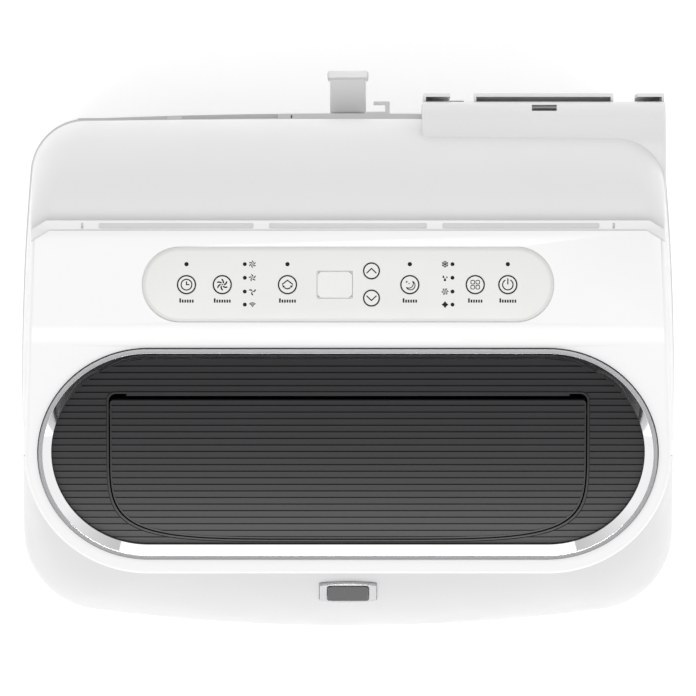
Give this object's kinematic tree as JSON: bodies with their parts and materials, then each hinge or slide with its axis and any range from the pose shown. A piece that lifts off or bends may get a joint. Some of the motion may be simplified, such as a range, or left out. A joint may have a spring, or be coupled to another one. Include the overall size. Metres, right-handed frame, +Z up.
{
  "type": "portable air conditioner",
  "caption": "Wheeled indoor air conditioner cabinet with a tilted pill-shaped outlet, a swing flap, a key panel, intake grilles and a rear hose housing.",
  "frame": {"origin": "on the floor under the middle of the cabinet's outline, hose rails and hooks included", "axes": "+Z up, +X to the right of a user who faces the control panel from the front, +Y to the back"},
  "size_m": [0.3532, 0.3007, 0.7],
  "materials": {
    "white_plastic": "satin moulded ABS, off-white",
    "metal_trim": "brushed metal trim",
    "dark_plastic": "ribbed satin dark grey plastic",
    "chrome": "polished chrome with a satin rim",
    "grey_plastic": "plain grey polypropylene",
    "galvanized": "galvanized sheet",
    "panel_grey": "satin printed overlay, warm light grey",
    "display_glass": "polished window",
    "button_grey": "satin key cap, warm light grey",
    "white_trim_plastic": "satin moulded ABS, off-white",
    "filter_mesh": "dark woven nylon mesh",
    "rubber": "matt black rubber",
    "aluminium": "bare fin stock",
    "black_paint": "black enamel",
    "copper": "bare copper tube"
  },
  "bodies": {
    "cabinet": {"front_panel": "white_plastic", "rear_shell": "white_plastic", "top_cover": "white_plastic", "receiver_bezel": "metal_trim", "receiver_window": "dark_plastic", "outlet_ring": "chrome", "vent_bezel": "dark_plastic", "air_duct": "grey_plastic", "flap_motor": "galvanized", "control_panel": "panel_grey", "display_window": "display_glass", "upper_cord_hook": "white_trim_plastic", "lower_cord_hook": "white_trim_plastic", "cord_clip": "white_trim_plastic", "cord_gland": "rubber", "partition_deck": "grey_plastic", "evaporator_coil": "aluminium", "condenser_coil": "aluminium", "evaporator_scroll": "grey_plastic", "evaporator_motor": "galvanized", "condenser_scroll": "grey_plastic", "condenser_motor": "galvanized", "exhaust_duct": "grey_plastic", "compressor": "black_paint", "splash_motor": "galvanized", "suction_pipe": "copper", "control_box": "galvanized", "base_pan": "grey_plastic"},
    "flap": {"outlet_flap": "dark_plastic"},
    "vane_1": {"air_vane_1": "dark_plastic"},
    "vane_2": {"air_vane_2": "dark_plastic"},
    "vane_3": {"air_vane_3": "dark_plastic"},
    "vane_4": {"air_vane_4": "dark_plastic"},
    "tie_bar": {"vane_tie_bar": "dark_plastic"},
    "timer_key": {"timer_button": "button_grey"},
    "speed_key": {"speed_button": "button_grey"},
    "swing_key": {"swing_button": "button_grey"},
    "up_key": {"up_button": "button_grey"},
    "down_key": {"down_button": "button_grey"},
    "sleep_key": {"sleep_button": "button_grey"},
    "mode_key": {"mode_button": "button_grey"},
    "power_key": {"power_button": "button_grey"},
    "rear_grille_door": {"rear_grille": "white_trim_plastic", "rear_filter": "filter_mesh"},
    "side_grille_door": {"side_grille": "white_trim_plastic", "side_filter": "filter_mesh"},
    "upper_drain": {"upper_drain_cap": "rubber"},
    "lower_drain": {"lower_drain_plug": "rubber"},
    "evaporator_wheel": {"evaporator_blower": "grey_plastic"},
    "condenser_wheel": {"condenser_blower": "grey_plastic"},
    "splash_disc": {"splash_wheel": "grey_plastic"},
    "float": {"tank_float": "white_trim_plastic"},
    "fork_front_left": {"caster_fork_front_left": "grey_plastic"},
    "wheel_front_left": {"caster_wheel_front_left": "rubber"},
    "fork_front_right": {"caster_fork_front_right": "grey_plastic"},
    "wheel_front_right": {"caster_wheel_front_right": "rubber"},
    "fork_rear_left": {"caster_fork_rear_left": "grey_plastic"},
    "wheel_rear_left": {"caster_wheel_rear_left": "rubber"},
    "fork_rear_right": {"caster_fork_rear_right": "grey_plastic"},
    "wheel_rear_right": {"caster_wheel_rear_right": "rubber"}
  },
  "joints": [
    {"name": "flap_hinge", "type": "hinge", "parent": "cabinet", "child": "flap", "pos_m": [0, -0.03397, 0.67388], "axis": [-1, 0, 0], "range_deg": [0, 60]},
    {"name": "vane_1_turn", "type": "hinge", "parent": "cabinet", "child": "vane_1", "pos_m": [-0.078, -0.058, 0.615], "axis": [0, 0, 1], "range_deg": [-30, 30]},
    {"name": "vane_2_turn", "type": "hinge", "parent": "cabinet", "child": "vane_2", "pos_m": [-0.026, -0.058, 0.615], "axis": [0, 0, 1], "range_deg": [-30, 30]},
    {"name": "vane_3_turn", "type": "hinge", "parent": "cabinet", "child": "vane_3", "pos_m": [0.026, -0.058, 0.615], "axis": [0, 0, 1], "range_deg": [-30, 30]},
    {"name": "vane_4_turn", "type": "hinge", "parent": "cabinet", "child": "vane_4", "pos_m": [0.078, -0.058, 0.615], "axis": [0, 0, 1], "range_deg": [-30, 30]},
    {"name": "tie_bar_slide", "type": "slide", "parent": "cabinet", "child": "tie_bar", "axis": [1, 0, 0], "range_m": [-0.0121, 0.0121]},
    {"name": "timer_button_press", "type": "slide", "parent": "cabinet", "child": "timer_key", "axis": [0, 0, -1], "range_m": [0, 0.0005], "stiffness_N_per_m": 600},
    {"name": "speed_button_press", "type": "slide", "parent": "cabinet", "child": "speed_key", "axis": [0, 0, -1], "range_m": [0, 0.0005], "stiffness_N_per_m": 600},
    {"name": "swing_button_press", "type": "slide", "parent": "cabinet", "child": "swing_key", "axis": [0, 0, -1], "range_m": [0, 0.0005], "stiffness_N_per_m": 600},
    {"name": "up_button_press", "type": "slide", "parent": "cabinet", "child": "up_key", "axis": [0, 0, -1], "range_m": [0, 0.0005], "stiffness_N_per_m": 600},
    {"name": "down_button_press", "type": "slide", "parent": "cabinet", "child": "down_key", "axis": [0, 0, -1], "range_m": [0, 0.0005], "stiffness_N_per_m": 600},
    {"name": "sleep_button_press", "type": "slide", "parent": "cabinet", "child": "sleep_key", "axis": [0, 0, -1], "range_m": [0, 0.0005], "stiffness_N_per_m": 600},
    {"name": "mode_button_press", "type": "slide", "parent": "cabinet", "child": "mode_key", "axis": [0, 0, -1], "range_m": [0, 0.0005], "stiffness_N_per_m": 600},
    {"name": "power_button_press", "type": "slide", "parent": "cabinet", "child": "power_key", "axis": [0, 0, -1], "range_m": [0, 0.0005], "stiffness_N_per_m": 600},
    {"name": "rear_grille_pull", "type": "slide", "parent": "cabinet", "child": "rear_grille_door", "axis": [0, 1, 0], "range_m": [0, 0.04]},
    {"name": "side_grille_pull", "type": "slide", "parent": "cabinet", "child": "side_grille_door", "axis": [-1, 0, 0], "range_m": [0, 0.04]},
    {"name": "upper_drain_pull", "type": "slide", "parent": "cabinet", "child": "upper_drain", "axis": [0, 1, 0], "range_m": [0, 0.02]},
    {"name": "lower_drain_pull", "type": "slide", "parent": "cabinet", "child": "lower_drain", "axis": [0, 1, 0], "range_m": [0, 0.02]},
    {"name": "evaporator_blower_spin", "type": "hinge", "parent": "cabinet", "child": "evaporator_wheel", "pos_m": [-0.045, -0.052, 0.44], "axis": [0, 1, 0], "continuous": true},
    {"name": "condenser_blower_spin", "type": "hinge", "parent": "cabinet", "child": "condenser_wheel", "pos_m": [0.068, 0.03, 0.205], "axis": [0, 1, 0], "continuous": true},
    {"name": "splash_wheel_spin", "type": "hinge", "parent": "cabinet", "child": "splash_disc", "pos_m": [-0.095, 0.064, 0.092], "axis": [0, 1, 0], "continuous": true},
    {"name": "float_lift", "type": "slide", "parent": "cabinet", "child": "float", "axis": [0, 0, 1], "range_m": [0, 0.01]},
    {"name": "swivel_front_left", "type": "hinge", "parent": "cabinet", "child": "fork_front_left", "pos_m": [-0.122, -0.098, 0.0454], "axis": [0, 0, 1], "continuous": true},
    {"name": "roll_front_left", "type": "hinge", "parent": "fork_front_left", "child": "wheel_front_left", "pos_m": [-0.122, -0.089, 0.017], "axis": [1, 0, 0], "continuous": true},
    {"name": "swivel_front_right", "type": "hinge", "parent": "cabinet", "child": "fork_front_right", "pos_m": [0.122, -0.098, 0.0454], "axis": [0, 0, 1], "continuous": true},
    {"name": "roll_front_right", "type": "hinge", "parent": "fork_front_right", "child": "wheel_front_right", "pos_m": [0.122, -0.089, 0.017], "axis": [1, 0, 0], "continuous": true},
    {"name": "swivel_rear_left", "type": "hinge", "parent": "cabinet", "child": "fork_rear_left", "pos_m": [-0.122, 0.084, 0.0454], "axis": [0, 0, 1], "continuous": true},
    {"name": "roll_rear_left", "type": "hinge", "parent": "fork_rear_left", "child": "wheel_rear_left", "pos_m": [-0.122, 0.093, 0.017], "axis": [1, 0, 0], "continuous": true},
    {"name": "swivel_rear_right", "type": "hinge", "parent": "cabinet", "child": "fork_rear_right", "pos_m": [0.122, 0.084, 0.0454], "axis": [0, 0, 1], "continuous": true},
    {"name": "roll_rear_right", "type": "hinge", "parent": "fork_rear_right", "child": "wheel_rear_right", "pos_m": [0.122, 0.093, 0.017], "axis": [1, 0, 0], "continuous": true}
  ],
  "couplings": [
    {"joint": "vane_2_turn", "follows": "vane_1_turn", "ratio": 1},
    {"joint": "vane_3_turn", "follows": "vane_1_turn", "ratio": 1},
    {"joint": "vane_4_turn", "follows": "vane_1_turn", "ratio": 1},
    {"joint": "tie_bar_slide", "follows": "vane_1_turn", "m_per_rad": 0.022918}
  ]
}
